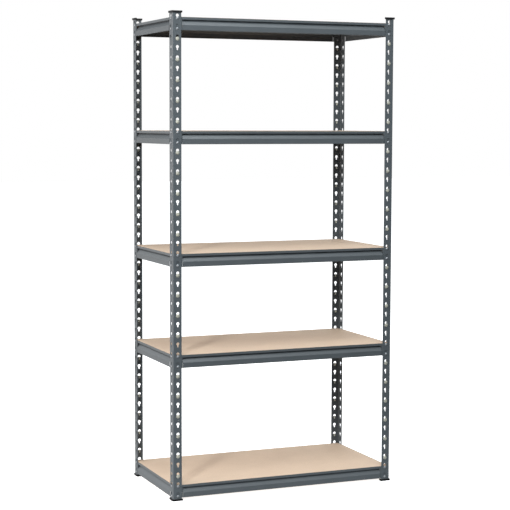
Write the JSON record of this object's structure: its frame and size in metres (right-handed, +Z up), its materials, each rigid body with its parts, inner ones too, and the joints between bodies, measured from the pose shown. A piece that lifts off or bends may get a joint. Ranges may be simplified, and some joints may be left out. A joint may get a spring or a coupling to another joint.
{
  "type": "boltless shelving unit",
  "caption": "Free-standing boltless steel shelving: keyhole angle posts, riveted beams that hook into them, and loose particle boards.",
  "frame": {"origin": "on the floor, under the middle of the unit", "axes": "+Z up, +X to the right along the long beams, -Y towards the front"},
  "size_m": [0.9216, 0.4772, 1.8352],
  "materials": {
    "post_paint": "semi-gloss grey powder coat",
    "beam_paint": "semi-gloss grey powder coat",
    "black_plastic": "moulded, fine texture",
    "plug_plastic": "natural, slightly glossy",
    "rivet_zinc": "bright zinc plate",
    "particle_board": "sanded, unfinished"
  },
  "bodies": {
    "posts": {"post_lower_front_left": "post_paint", "post_upper_front_left": "post_paint", "cap_front_left": "black_plastic", "foot_front_left": "black_plastic", "slot_plugs_front_left": "plug_plastic", "post_lower_front_right": "post_paint", "post_upper_front_right": "post_paint", "cap_front_right": "black_plastic", "foot_front_right": "black_plastic", "slot_plugs_front_right": "plug_plastic", "post_lower_back_left": "post_paint", "post_upper_back_left": "post_paint", "cap_back_left": "black_plastic", "foot_back_left": "black_plastic", "slot_plugs_back_left": "plug_plastic", "post_lower_back_right": "post_paint", "post_upper_back_right": "post_paint", "cap_back_right": "black_plastic", "foot_back_right": "black_plastic", "slot_plugs_back_right": "plug_plastic"},
    "shelf_1": {"beam_front_shelf_1": "beam_paint", "beam_back_shelf_1": "beam_paint", "beam_left_shelf_1": "beam_paint", "beam_right_shelf_1": "beam_paint", "rivets_shelf_1": "rivet_zinc"},
    "shelf_2": {"beam_front_shelf_2": "beam_paint", "beam_back_shelf_2": "beam_paint", "beam_left_shelf_2": "beam_paint", "beam_right_shelf_2": "beam_paint", "rivets_shelf_2": "rivet_zinc"},
    "shelf_3": {"beam_front_shelf_3": "beam_paint", "beam_back_shelf_3": "beam_paint", "beam_left_shelf_3": "beam_paint", "beam_right_shelf_3": "beam_paint", "rivets_shelf_3": "rivet_zinc"},
    "shelf_4": {"beam_front_shelf_4": "beam_paint", "beam_back_shelf_4": "beam_paint", "beam_left_shelf_4": "beam_paint", "beam_right_shelf_4": "beam_paint", "rivets_shelf_4": "rivet_zinc"},
    "shelf_5": {"beam_front_shelf_5": "beam_paint", "beam_back_shelf_5": "beam_paint", "beam_left_shelf_5": "beam_paint", "beam_right_shelf_5": "beam_paint", "rivets_shelf_5": "rivet_zinc"},
    "board_1": {"board_shelf_1": "particle_board"},
    "board_2": {"board_shelf_2": "particle_board"},
    "board_3": {"board_shelf_3": "particle_board"},
    "board_4": {"board_shelf_4": "particle_board"},
    "board_5": {"board_shelf_5": "particle_board"}
  },
  "joints": [
    {"name": "shelf_1_unhook", "type": "slide", "parent": "posts", "child": "shelf_1", "axis": [0, 0, 1], "range_m": [0, 0.0103]},
    {"name": "shelf_2_unhook", "type": "slide", "parent": "posts", "child": "shelf_2", "axis": [0, 0, 1], "range_m": [0, 0.0103]},
    {"name": "shelf_3_unhook", "type": "slide", "parent": "posts", "child": "shelf_3", "axis": [0, 0, 1], "range_m": [0, 0.0103]},
    {"name": "shelf_4_unhook", "type": "slide", "parent": "posts", "child": "shelf_4", "axis": [0, 0, 1], "range_m": [0, 0.0103]},
    {"name": "shelf_5_unhook", "type": "slide", "parent": "posts", "child": "shelf_5", "axis": [0, 0, 1], "range_m": [0, 0.0103]},
    {"name": "board_1_lift", "type": "slide", "parent": "shelf_1", "child": "board_1", "axis": [0, 0, 1], "range_m": [0, 0.1]},
    {"name": "board_2_lift", "type": "slide", "parent": "shelf_2", "child": "board_2", "axis": [0, 0, 1], "range_m": [0, 0.1]},
    {"name": "board_3_lift", "type": "slide", "parent": "shelf_3", "child": "board_3", "axis": [0, 0, 1], "range_m": [0, 0.1]},
    {"name": "board_4_lift", "type": "slide", "parent": "shelf_4", "child": "board_4", "axis": [0, 0, 1], "range_m": [0, 0.1]},
    {"name": "board_5_lift", "type": "slide", "parent": "shelf_5", "child": "board_5", "axis": [0, 0, 1], "range_m": [0, 0.1]}
  ]
}
